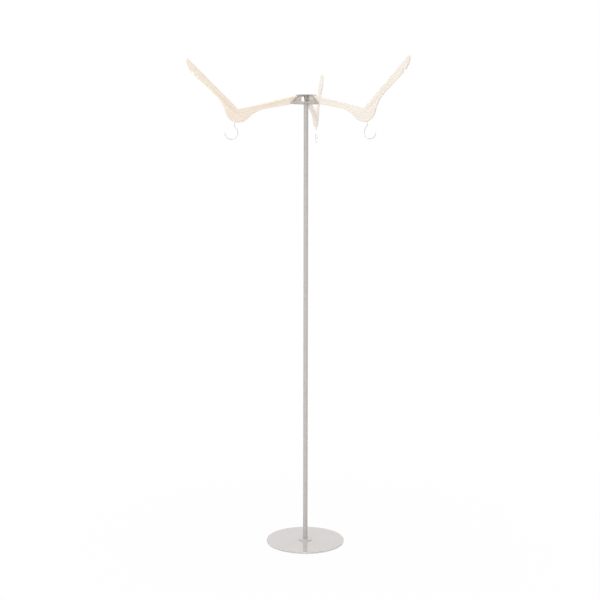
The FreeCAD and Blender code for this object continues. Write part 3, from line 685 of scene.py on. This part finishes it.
class Trees:
    """The geometry trees of what repeats or follows a path, each built once."""

    # The wire's rounded end keeps a tiny flat, so that it stays a ring and not a point.
    ROUNDED_TO = 0.995
    # Weld beads differ in size by this share either way.
    BEAD_SPREAD = 0.15
    BEAD_SUBDIVISIONS = 2
    # A thread's flank leaves the root and meets the crest this far from the middle of the root, in pitches.
    ROOT = 0.06
    CREST = 0.44

    def __init__(self) -> None:
        """Build the trees."""
        self.wire = self.wire_tree()
        self.weld = self.weld_tree()
        self.thread = self.thread_tree()
        self.copies = self.copies_tree()

    def wire_tree(self) -> NodeTree:
        """Return a tree that turns a path into round wire with a rounded far end.

        Returns:
            The tree, with the wire's radius and number of sides as inputs.
        """
        tree, given = new_tree("bent_wire", {"Radius": Kind.NUMBER, "Sides": Kind.COUNT})
        path = add_node(tree, "GeometryNodeMeshToCurve", {"Mesh": given["Geometry"]})
        along = add_node(tree, "GeometryNodeSplineParameter").outputs["Length"]
        whole = add_node(tree, "GeometryNodeSplineLength").outputs["Length"]
        left = add_node(tree, "ShaderNodeMath", {0: whole, 1: along}, operation="SUBTRACT")
        share = add_node(tree, "ShaderNodeMapRange", {
            "Value": left.outputs[0],
            "From Max": given["Radius"],
            "To Min": self.ROUNDED_TO,
            "To Max": 0.0,
        })
        square = add_node(tree, "ShaderNodeMath", {0: share.outputs[0], 1: 2.0}, operation="POWER")
        rest = add_node(tree, "ShaderNodeMath", {0: 1.0, 1: square.outputs[0]}, operation="SUBTRACT")
        scale = add_node(tree, "ShaderNodeMath", {0: rest.outputs[0]}, operation="SQRT")
        section = add_node(tree, "GeometryNodeCurvePrimitiveCircle", {
            "Resolution": given["Sides"],
            "Radius": given["Radius"],
        })
        wire = add_node(tree, "GeometryNodeCurveToMesh", {
            "Curve": path.outputs[0],
            "Profile Curve": section.outputs["Curve"],
            "Scale": scale.outputs[0],
            "Fill Caps": True,
        })
        end_tree(tree, given, wire.outputs[0])
        return tree

    def planted(self, tree: NodeTree, points: NodeSocket, model: NodeSocket) -> NodeSocket:
        """Set a copy of a model on each point, turned by the point's own attribute.

        Args:
            tree: The tree to add to.
            points: Where the copies go.
            model: What is copied.

        Returns:
            The copies.
        """
        turn = add_node(tree, "GeometryNodeInputNamedAttribute", {"Name": TURN}, data_type="FLOAT")
        euler = add_node(tree, "ShaderNodeCombineXYZ", {2: turn.outputs["Attribute"]})
        swing = add_node(tree, "FunctionNodeEulerToRotation", {0: euler.outputs[0]})
        return add_node(tree, "GeometryNodeInstanceOnPoints", {
            "Points": points,
            "Instance": model,
            "Rotation": swing.outputs[0],
        }).outputs[0]

    def weld_tree(self) -> NodeTree:
        """Return a tree that lays an arc of weld beads round each rod end.

        Returns:
            The tree.  Each point of its geometry is a rod's end, turned by its own attribute.
        """
        tree, given = new_tree("weld_beads", {
            "Rod Radius": Kind.NUMBER,
            "Slant": Kind.NUMBER,
            "Bead Radius": Kind.NUMBER,
            "Beads": Kind.COUNT,
            "Start": Kind.NUMBER,
            "Sweep": Kind.NUMBER,
            "Seed": Kind.COUNT,
        })
        arc = add_node(tree, "GeometryNodeCurveArc", {
            "Resolution": given["Beads"],
            "Radius": given["Rod Radius"],
            "Start Angle": given["Start"],
            "Sweep Angle": given["Sweep"],
        })
        slant = add_node(tree, "ShaderNodeCombineXYZ", {0: given["Slant"], 1: 1.0, 2: 1.0})
        oval = add_node(tree, "GeometryNodeTransform", {
            "Geometry": arc.outputs["Curve"],
            "Scale": slant.outputs[0],
        })
        bead = add_node(tree, "GeometryNodeMeshIcoSphere", {
            "Radius": given["Bead Radius"],
            "Subdivisions": self.BEAD_SUBDIVISIONS,
        })
        size = add_node(tree, "FunctionNodeRandomValue", {
            2: 1 - self.BEAD_SPREAD,
            3: 1 + self.BEAD_SPREAD,
            "Seed": given["Seed"],
        }, data_type="FLOAT")
        seam = add_node(tree, "GeometryNodeInstanceOnPoints", {
            "Points": oval.outputs[0],
            "Instance": bead.outputs["Mesh"],
            "Scale": size.outputs[1],
        })
        end_tree(tree, given, self.planted(tree, given["Geometry"], seam.outputs[0]))
        return tree

    def thread_tree(self) -> NodeTree:
        """Return a tree that cuts a screw thread into a round bar along Z, running out at both ends.

        Returns:
            The tree, with the thread's sizes as inputs.
        """
        tree, given = new_tree("screw_thread", {
            "Radius": Kind.NUMBER,
            "Core": Kind.NUMBER,
            "Pitch": Kind.NUMBER,
            "Length": Kind.NUMBER,
            "Sides": Kind.COUNT,
            "Rings": Kind.COUNT,
        })
        bar = add_node(tree, "GeometryNodeMeshCylinder", {
            "Vertices": given["Sides"],
            "Side Segments": given["Rings"],
            "Radius": given["Radius"],
            "Depth": given["Length"],
        })
        position = add_node(tree, "GeometryNodeInputPosition").outputs[0]
        spot = add_node(tree, "ShaderNodeSeparateXYZ", {0: position}).outputs
        angle = add_node(tree, "ShaderNodeMath", {0: spot["Y"], 1: spot["X"]}, operation="ARCTAN2")
        turns = add_node(tree, "ShaderNodeMath", {0: angle.outputs[0], 1: math.tau}, operation="DIVIDE")
        climb = add_node(tree, "ShaderNodeMath", {0: spot["Z"], 1: given["Pitch"]}, operation="DIVIDE")
        off = add_node(tree, "ShaderNodeMath", {
            0: climb.outputs[0],
            1: turns.outputs[0],
        }, operation="SUBTRACT")
        from_root = add_node(tree, "ShaderNodeMath", {0: off.outputs[0], 1: 0.5}, operation="PINGPONG")
        ridge = add_node(tree, "ShaderNodeMapRange", {
            "Value": from_root.outputs[0],
            "From Min": self.ROOT,
            "From Max": self.CREST,
        })
        level = add_node(tree, "ShaderNodeMath", {0: spot["Z"]}, operation="ABSOLUTE").outputs[0]
        half = add_node(tree, "ShaderNodeMath", {0: given["Length"], 1: 2.0}, operation="DIVIDE").outputs[0]
        margin = add_node(tree, "ShaderNodeMath", {0: half, 1: level}, operation="SUBTRACT")
        height = add_node(tree, "ShaderNodeMapRange", {
            "Value": margin.outputs[0],
            "From Max": given["Pitch"],
            "To Max": ridge.outputs[0],
        })
        core = add_node(tree, "ShaderNodeMath", {0: given["Core"], 1: given["Radius"]}, operation="DIVIDE")
        keep = add_node(tree, "ShaderNodeMapRange", {"Value": height.outputs[0], "To Min": core.outputs[0]})
        scale = add_node(tree, "ShaderNodeCombineXYZ", {0: keep.outputs[0], 1: keep.outputs[0], 2: 1.0})
        place = add_node(tree, "ShaderNodeVectorMath", {
            0: position,
            1: scale.outputs[0],
        }, operation="MULTIPLY")
        shaped = add_node(tree, "GeometryNodeSetPosition", {
            "Geometry": bar.outputs["Mesh"],
            "Position": place.outputs[0],
        })
        end_tree(tree, given, shaped.outputs[0])
        return tree

    def copies_tree(self) -> NodeTree:
        """Return a tree that sets a copy of one object on each point, turned by the point's own attribute.

        Returns:
            The tree, with the object as an input.
        """
        tree, given = new_tree("fastener_copies", {"Fastener": Kind.OBJECT})
        model = add_node(tree, "GeometryNodeObjectInfo", {"Object": given["Fastener"]})
        end_tree(tree, given, self.planted(tree, given["Geometry"], model.outputs["Geometry"]))
        return tree


@dataclass(frozen=True)
class Thread:
    """A thread cut into a round bar along Z.  Most of the stand's threads are 8 mm ones."""

    length: float
    radius: float = 4 * MM
    pitch: float = 1.25 * MM
    depth: float = 0.77 * MM
    sides: int = 32
    rings_a_turn: int = 8

    @property
    def core(self) -> float:
        """Return the radius at the root of the thread."""
        return self.radius - self.depth

    def mesh(self, trees: Trees, finish: Finish, middle: float) -> Mesh:
        """Cut the thread.

        Args:
            trees: The geometry trees.
            finish: What the bar is plated with.
            middle: Height of the bar's middle.

        Returns:
            The threaded bar.
        """
        mesh = grown(trees.thread, bpy.data.meshes.new("bar"), finish, {
            "Radius": self.radius,
            "Core": self.core,
            "Pitch": self.pitch,
            "Length": self.length,
            "Sides": self.sides,
            "Rings": round(self.length / self.pitch * self.rings_a_turn),
        })
        mesh.transform(Matrix.Translation((0, 0, middle)))
        return mesh


@dataclass(frozen=True)
class Fastener:
    """A bolt or screw, built head up with its shank along -Z.

    The profile goes up the outside of the head, as pairs of radius and height.
    """

    profile: Profile
    drive: Drive
    key: float
    recess: float
    plain: float
    thread: Thread
    point: float = 0.0
    sides: int = 96
    # Radius of the round edge about the recess, and width of a cross's arms, as shares of the key's width.
    edge: float = 0.6
    cross_arm: float = 0.25
    # Radii of the point's foot and tip as shares of the core, and how far the foot is sunk, in pitches.
    point_foot: float = 0.98
    point_tip: float = 0.05
    point_sink: float = 0.125

    def mesh(self, name: str, trees: Trees, finish: Finish, place: Matrix) -> Mesh:
        """Build head, shank, thread and point.

        Args:
            name: The mesh's name.
            trees: The geometry trees.
            finish: What the fastener is plated with.
            place: Where it goes and which way it points.

        Returns:
            The whole fastener.
        """
        crown = self.profile[-1][1]
        start = self.profile[0][1] - self.plain
        hexed = self.drive is Drive.HEX_KEY
        socket = hexagon(self.key) if hexed else cross(self.key, self.key * self.cross_arm)
        rings = [(circle(self.thread.radius), start)] if self.plain else []
        rings += [(circle(radius), height) for radius, height in self.profile]
        rings += [(circle(self.key * self.edge), crown), (socket, crown), (socket, crown - self.recess)]
        middle = start - self.thread.length / 2
        parts = [ringed("head", rings, self.sides), self.thread.mesh(trees, finish, middle)]
        if self.point:
            foot = start - self.thread.length
            tip = (circle(self.thread.core * self.point_tip), foot - self.point)
            base = (circle(self.thread.core * self.point_foot), foot + self.thread.pitch * self.point_sink)
            parts.append(ringed("point", [tip, base], self.thread.sides))
        return joined(name, parts, finish, place)


def domed(radius: float, rim: float, height: float, steps: int = 8) -> Profile:
    """Return the profile of a flat head with a rounded edge.

    Args:
        radius: Of the head.
        rim: Height of its straight rim.
        height: Of the whole head.
        steps: Points on the rounding.

    Returns:
        Pairs of radius and height, from the seat up.
    """
    rounding = height - rim
    angles = [math.pi / 2 * step / steps for step in range(steps + 1)]
    curve = [(radius - rounding * (1 - math.cos(a)), rim + rounding * math.sin(a)) for a in angles]
    return (radius, 0.0), *curve


@dataclass
class Assembly:
    """What every sub-assembly shares: the geometry trees that its pieces grow from."""

    trees: Trees

    def build(self) -> None:
        """Make the new pieces and set them down."""
        raise NotImplementedError

    def dress(self) -> None:
        """Give the CAD nodes their finishes."""
        raise NotImplementedError


@dataclass
class Foot(Assembly):
    """The round foot: painted plate and collar, a rubber sheet underneath, and a countersunk stud."""

    underside: float = bottom("base_plate")
    stud_head: float = 8 * MM
    head_height: float = 4 * MM
    thread: Thread = Thread(19 * MM)
    key: float = 5 * MM
    recess: float = 3 * MM

    def build(self) -> None:
        """Make the stud."""
        cone = ((self.thread.radius, -self.head_height), (self.stud_head, 0.0))
        stud = Fastener(cone, Drive.HEX_KEY, self.key, self.recess, 0.0, self.thread)
        place = Matrix.Translation((0, 0, self.underside)) @ Matrix.Rotation(math.pi, 4, "X")
        mesh = stud.mesh("countersunk_stud", self.trees, ZINC, place)
        set_down("countersunk_stud", mesh, STAND, Slot.ZINC, "base_stud")

    def dress(self) -> None:
        """Give the plates their finishes."""
        dress("base_plate", LACQUER)
        dress("foot_collar", LACQUER)
        dress("base_pad", RUBBER)


@dataclass
class Pole(Assembly):
    """Three painted tubes with plated plugs in their ends and threaded studs across the joints."""

    joints: Pair = (bottom("pole_middle"), bottom("pole_upper"))
    thread: Thread = Thread(36 * MM)

    def build(self) -> None:
        """Make the two studs."""
        bars = [self.thread.mesh(self.trees, ZINC, joint) for joint in self.joints]
        mesh = joined("threaded_studs", bars, ZINC)
        set_down("threaded_studs", mesh, STAND, Slot.ZINC, "lower_joint_stud", "upper_joint_stud")

    def dress(self) -> None:
        """Give tubes and plugs their finishes."""
        for section in ("lower", "middle", "upper"):
            dress(f"pole_{section}", PAINT)
            dress(f"{section}_bottom_plug", ZINC)
            dress(f"{section}_top_plug", ZINC)


@dataclass
class Hub(Assembly):
    """Two painted discs on a post and six leaning rods, with a bolt through the middle."""

    underside: float = bottom("hub_lower_plate")
    floor: float = top("hub_lower_plate")
    roof: float = bottom("hub_upper_plate")
    seat: float = top("hub_upper_plate")
    rod: float = 2.5 * MM
    beside: float = 9 * MM
    foot_radius: float = 55 * MM
    top_radius: float = 31 * MM
    bead: float = 0.7 * MM
    top_bead: float = 0.5 * MM
    beads: int = 17
    sweep: float = math.radians(240)
    cap: Profile = domed(9 * MM, 0.5 * MM, 2.6 * MM)
    key: float = 5 * MM
    recess: float = 1.8 * MM
    thread: Thread = Thread(18 * MM)

    def seams(self, level: float, radius: float, bead: float, seed: int) -> Mesh:
        """Weld the six rods to one disc, on the side away from the hangers.

        Args:
            level: Height of the disc's face.
            radius: How far out the rods stand there.
            bead: Radius of one bead.
            seed: For the beads' sizes.

        Returns:
            The six seams.
        """
        points = []
        turns = []
        for azimuth in HANGERS.values():
            for side, half_turn in ((1, 0.0), (-1, math.pi)):
                out = Matrix.Rotation(azimuth, 3, "Z")
                points.append(out @ Vector((radius, side * self.beside, level)))
                turns.append(azimuth + half_turn)
        lean = math.atan2(self.foot_radius - self.top_radius, self.roof - self.floor)
        return grown(self.trees.weld, points_mesh("rod_ends", points, turns), PAINT, {
            "Rod Radius": self.rod,
            "Slant": 1 / math.cos(lean),
            "Bead Radius": bead,
            "Beads": self.beads,
            "Start": (math.pi - self.sweep) / 2,
            "Sweep": self.sweep,
            "Seed": seed,
        })

    def build(self) -> None:
        """Make the bolt and the weld seams."""
        plain = self.seat - self.underside
        bolt = Fastener(self.cap, Drive.HEX_KEY, self.key, self.recess, plain, self.thread)
        mesh = bolt.mesh("cap_bolt", self.trees, ZINC, Matrix.Translation((0, 0, self.seat)))
        set_down("cap_bolt", mesh, STAND, Slot.ZINC, "hub_bolt")
        low = self.seams(self.floor, self.foot_radius, self.bead, 1)
        high = self.seams(self.roof, self.top_radius, self.top_bead, 2)
        set_down("weld_seams", joined("weld_seams", [low, high], PAINT), STAND, Slot.PAINT)

    def dress(self) -> None:
        """Paint discs, post and rods."""
        for node in ("hub_lower_plate", "hub_upper_plate", "hub_post"):
            dress(node, PAINT)
        for number in HANGERS:
            dress(f"hub_strut_{number}_left", PAINT)
            dress(f"hub_strut_{number}_right", PAINT)


@dataclass
class Hangers(Assembly):
    """Three beech hangers, each of two boards dowelled at the elbow and screwed to the hub."""

    droop: float = math.radians(28.2)
    neck: float = 45 * MM
    # The heart of the tree lies below, behind and along each board by steps, so no two boards are alike.
    heart_below: float = 34 * MM
    heart_spread: float = 0.25
    heart_behind: float = 15 * MM
    heart_between: float = 4 * MM
    heart_along: float = 200 * MM
    middle_hanger: int = 2
    # The boards of one hanger are of the warmer, darker timber: partly a real difference between boards, and
    # partly painted shade for the hanger on the left, which the light reaches less.
    shaded_warm_hanger: int = 2
    screw_radius: float = 40 * MM
    screw_seat: float = bottom("hub_lower_plate")
    # Screws stop at whatever angle they are tight, each a little further round than the one before.
    screw_turn: float = 0.4
    head: Profile = domed(4 * MM, 1.0 * MM, 2.4 * MM)
    key: float = 4.4 * MM
    recess: float = 1.5 * MM
    thread: Thread = Thread(13 * MM, radius=2 * MM, pitch=1.8 * MM, depth=0.6 * MM, sides=24)
    plain: float = 2 * MM
    point: float = 3 * MM

    def place(self, number: int) -> Matrix:
        """Return a hanger's own frame: X towards the hub, Y through the wood, Z out along the hook's stem.

        Args:
            number: Of the hanger.

        Returns:
            The frame, with its origin at the elbow.
        """
        joint = next(item for item in frame["joints"] if item["name"] == f"hook_{number}_turn")
        stem = Vector(joint["axis"])
        mouth = Vector(joint["pos_m"])
        out = Vector((mouth.x, mouth.y, 0)).normalized()
        through = Vector((-out.y, out.x, 0))
        axes = Matrix((through.cross(stem), through, stem)).transposed()
        return Matrix.Translation(mouth - stem * self.neck) @ axes.to_4x4()

    def board(self, number: int, arm: Arm) -> VarnishedBeech:
        """Return the beech of one board, with its grain along the arm.

        Args:
            number: Of the hanger.
            arm: Which of its two boards.

        Returns:
            The board's finish.
        """
        place = self.place(number)
        turned = place.to_3x3()
        along = turned @ Vector((arm.value * math.cos(self.droop), 0, -math.sin(self.droop)))
        through = turned.col[1]
        across = through.cross(along)
        below = self.heart_below * (1 + self.heart_spread * number)
        behind = self.heart_behind * (number - self.middle_hanger) + self.heart_between * arm.value
        heart = place.translation - across * below - through * behind + along * self.heart_along * number
        axes = Matrix((along, across, through)).transposed()
        return VarnishedBeech(
            name=f"varnished_beech_{arm.name.lower()}_arm_{number}",
            heart=tuple(heart),
            turn=tuple(axes.to_euler()),
            timber=Timber.WARM if number == self.shaded_warm_hanger else Timber.PALE,
        )

    def build(self) -> None:
        """Make the screws that hold the hangers in the hub."""
        screw = Fastener(self.head, Drive.CROSS, self.key, self.recess, self.plain, self.thread, self.point)
        model_mesh = screw.mesh("screw_model", self.trees, ZINC, Matrix.Rotation(math.pi, 4, "X"))
        model = put_in("screw_model", model_mesh)
        spots = [
            Matrix.Rotation(azimuth, 3, "Z") @ Vector((self.screw_radius, 0, self.screw_seat))
            for azimuth in HANGERS.values()
        ]
        turns = [azimuth + self.screw_turn * number for number, azimuth in HANGERS.items()]
        places = points_mesh("screw_places", spots, turns)
        mesh = grown(self.trees.copies, places, ZINC, {"Fastener": model})
        bpy.data.objects.remove(model)
        bpy.data.meshes.remove(model_mesh)
        nodes = [f"hanger_{number}_screw" for number in HANGERS]
        set_down("hanger_screws", mesh, STAND, Slot.ZINC, *nodes)

    def dress(self) -> None:
        """Give every board its own grain, and plate the bushes."""
        for number in HANGERS:
            inner = self.board(number, Arm.INNER)
            dress(f"hanger_{number}_inner_arm", inner)
            dress(f"hanger_{number}_outer_arm", self.board(number, Arm.OUTER))
            dress(f"hanger_{number}_dowel_low", inner)
            dress(f"hanger_{number}_dowel_high", inner)
            dress(f"hanger_{number}_bush", CHROME)


@dataclass
class Hooks(Assembly):
    """Three bright wire hooks, each turning in its bush about its own stem."""

    hangers: Hangers
    wire: float = 1.75 * MM
    stem_foot: float = 28.9 * MM
    stem_end: float = 52 * MM
    loop: float = 23 * MM
    loop_across: float = -4 * MM
    loop_along: float = 82 * MM
    loop_end: float = math.radians(162)
    step: float = 1.2 * MM
    tip_steps: int = 8
    sides: int = 24

    def arc(self, centre: Vector, radius: float, start: float, end: float) -> list[Vector]:
        """Return points on an arc in the hanger's plane, with its start left out.

        Args:
            centre: Of the arc.
            radius: Of the arc.
            start: Angle from X towards Z where it starts.
            end: Angle where it ends.

        Returns:
            The points, about one step apart.
        """
        count = math.ceil(abs(end - start) * radius / self.step)
        angles = [start + (end - start) * index / count for index in range(1, count + 1)]
        return [centre + radius * Vector((math.cos(angle), 0, math.sin(angle))) for angle in angles]

    def path(self) -> list[Vector]:
        """Return the wire's centre line: stem, bend and loop, each tangent to the next.

        Returns:
            Points in the hanger's own frame, closer together where the tip is rounded.
        """
        rise = self.loop_along - self.stem_end
        across = -self.loop_across
        bend = (across ** 2 + rise ** 2 - self.loop ** 2) / (2 * (self.loop - across))
        bend_centre = Vector((bend, 0, self.stem_end))
        loop_centre = Vector((self.loop_across, 0, self.loop_along))
        way = loop_centre - bend_centre
        meet = math.atan2(way.z, way.x)
        line = [Vector((0, 0, self.stem_foot)), Vector((0, 0, self.stem_end))]
        line += self.arc(bend_centre, bend, math.pi, meet)
        tip = self.loop_end - self.wire / self.loop
        line += self.arc(loop_centre, self.loop, meet - math.pi, tip)
        for index in range(1, self.tip_steps + 1):
            share = math.sin(math.pi / 2 * index / self.tip_steps)
            angle = tip + (self.loop_end - tip) * share
            line.append(loop_centre + self.loop * Vector((math.cos(angle), 0, math.sin(angle))))
        return line

    def build(self) -> None:
        """Bend the three wires."""
        for number in HANGERS:
            place = self.hangers.place(number)
            path = points_mesh("hook_path", [place @ point for point in self.path()])
            mesh = grown(self.trees.wire, path, CHROME, {"Radius": self.wire, "Sides": self.sides})
            set_down(f"wire_hook_{number}", mesh, f"hook_{number}_swivel", Slot.CHROME, f"hook_{number}")

    def dress(self) -> None:
        """Plate the rings that hold the hooks in."""
        for number in HANGERS:
            dress(f"hook_{number}_retainer", ZINC)


@dataclass(frozen=True)
class SoftBox:
    """A large soft lamp that is aimed at a point.  A low one stays out of what shiny pieces mirror."""

    name: str
    place: Triple
    aim: Triple
    width: float
    height: float
    power: float
    mirrored: bool = True

    def build(self) -> None:
        """Hang the lamp."""
        lamp = bpy.data.lights.new(self.name, "AREA")
        lamp.shape = "RECTANGLE"
        lamp.size = self.width
        lamp.size_y = self.height
        lamp.energy = self.power
        holder = put_in(self.name, lamp)
        holder.location = self.place
        holder.rotation_euler = (Vector(self.aim) - Vector(self.place)).to_track_quat("-Z", "Y").to_euler()
        holder.visible_glossy = self.mirrored


@dataclass
class Studio:
    """A white room: floor, even light from all round, soft boxes, and the photograph's point of view."""

    eye: Triple = (0.5566, -3.7738, 1.3239)
    turn: Triple = (math.radians(83.38), math.radians(-0.07), math.radians(8.7))
    lens: float = 65.1
    sensor: float = 36.0
    half_floor: float = 40.0
    floor_tone: str = "#EAEAE9"
    # The floor glows white to the eye: nearly all of it close to the object, and all of it further away.
    glow_near: float = 0.94
    fade: Pair = (0.4, 1.6)
    room_tone: str = "#FFFFFF"
    ambient: float = 0.36
    boxes: tuple[SoftBox, ...] = (
        SoftBox("box_over", (0.0, -1.5, 20.0), (0.0, 0.0, 0.8), 11.0, 11.0, 1500.0),
        SoftBox("box_back_left", (-3.0, 2.8, 3.4), (0.0, 0.0, 1.0), 2.8, 2.4, 46.0),
        SoftBox("box_back_right", (3.0, 2.8, 3.4), (0.0, 0.0, 1.0), 2.8, 2.4, 46.0),
        SoftBox("box_front", (0.6, -4.6, 1.6), (0.0, 0.0, 1.2), 4.2, 2.8, 62.0, mirrored=False),
        SoftBox("box_left", (-2.4, -3.2, 1.6), (0.0, 0.0, 1.0), 2.8, 2.6, 40.0, mirrored=False),
        SoftBox("box_right", (2.8, -2.6, 1.5), (0.0, 0.0, 1.0), 2.8, 2.6, 11.0, mirrored=False),
    )

    def seen(self, tree: NodeTree) -> NodeSocket:
        """Return 1 where the camera looks, straight or by way of a mirror or glass, and 0 elsewhere.

        Args:
            tree: The tree of the floor's material or of the world.

        Returns:
            The output that holds the number.
        """
        path = add_node(tree, "ShaderNodeLightPath").outputs
        seen = path["Is Camera Ray"]
        for ray in ("Is Glossy Ray", "Is Transmission Ray"):
            either = add_node(tree, "ShaderNodeMath", {0: seen, 1: path[ray]}, operation="MAXIMUM")
            seen = either.outputs[0]
        return seen

    def floor(self) -> None:
        """Lay the floor: pale, white where it runs out of sight, and with the object's shadow."""
        half = self.half_floor
        corners = [(-half, -half, 0), (half, -half, 0), (half, half, 0), (-half, half, 0)]
        mesh = bpy.data.meshes.new("floor")
        mesh.from_pydata(corners, [], [(0, 1, 2, 3)])
        material = bpy.data.materials.new("matt_white_paper")
        tree = empty_tree(material)
        matt = add_node(tree, "ShaderNodeBsdfDiffuse", {"Color": linear(self.floor_tone)})
        glow = add_node(tree, "ShaderNodeEmission", {"Strength": 1.0})
        spot = add_node(tree, "ShaderNodeTexCoord").outputs["Object"]
        away = add_node(tree, "ShaderNodeVectorMath", {0: spot}, operation="LENGTH")
        near = add_node(tree, "ShaderNodeMapRange", {
            "Value": away.outputs["Value"],
            "From Min": self.fade[0],
            "From Max": self.fade[1],
            "To Min": self.glow_near,
        }, interpolation_type=Ramp.SOFT.value).outputs[0]
        share = add_node(tree, "ShaderNodeMath", {0: near, 1: self.seen(tree)}, operation="MULTIPLY")
        mix = add_node(tree, "ShaderNodeMixShader", {
            0: share.outputs[0],
            1: matt.outputs[0],
            2: glow.outputs[0],
        })
        add_node(tree, "ShaderNodeOutputMaterial", {"Surface": mix.outputs[0]})
        mesh.materials.append(material)
        floor = put_in("floor", mesh)

    def world(self) -> None:
        """Fill the room with even light, and make it white to the eye."""
        world = bpy.data.worlds.new("white_room")
        tree = empty_tree(world)
        strength = add_node(tree, "ShaderNodeMapRange", {"Value": self.seen(tree), "To Min": self.ambient})
        white = add_node(tree, "ShaderNodeBackground", {
            "Color": linear(self.room_tone),
            "Strength": strength.outputs[0],
        })
        add_node(tree, "ShaderNodeOutputWorld", {"Surface": white.outputs[0]})
        bpy.context.scene.world = world

    def camera(self) -> None:
        """Set up the camera where the photograph was taken from."""
        camera = bpy.data.cameras.new("camera")
        camera.lens = self.lens
        camera.sensor_width = self.sensor
        holder = put_in("camera", camera)
        holder.location = self.eye
        holder.rotation_euler = self.turn
        bpy.context.scene.camera = holder

    def build(self) -> None:
        """Set up the room."""
        bpy.context.scene.view_settings.view_transform = "Standard"
        self.camera()
        self.floor()
        self.world()
        for box in self.boxes:
            box.build()
        LOG.info("studio with %d soft boxes", len(self.boxes))


def main() -> None:
    """Build the sub-assemblies, dress them and set up the studio."""
    logging.basicConfig(level=logging.INFO, format="%(name)s: %(message)s")
    trees = Trees()
    hangers = Hangers(trees)
    for assembly in (Foot(trees), Pole(trees), Hub(trees), hangers, Hooks(trees, hangers)):
        assembly.build()
        assembly.dress()
    Studio().build()


if __name__ == "__main__":
    main()
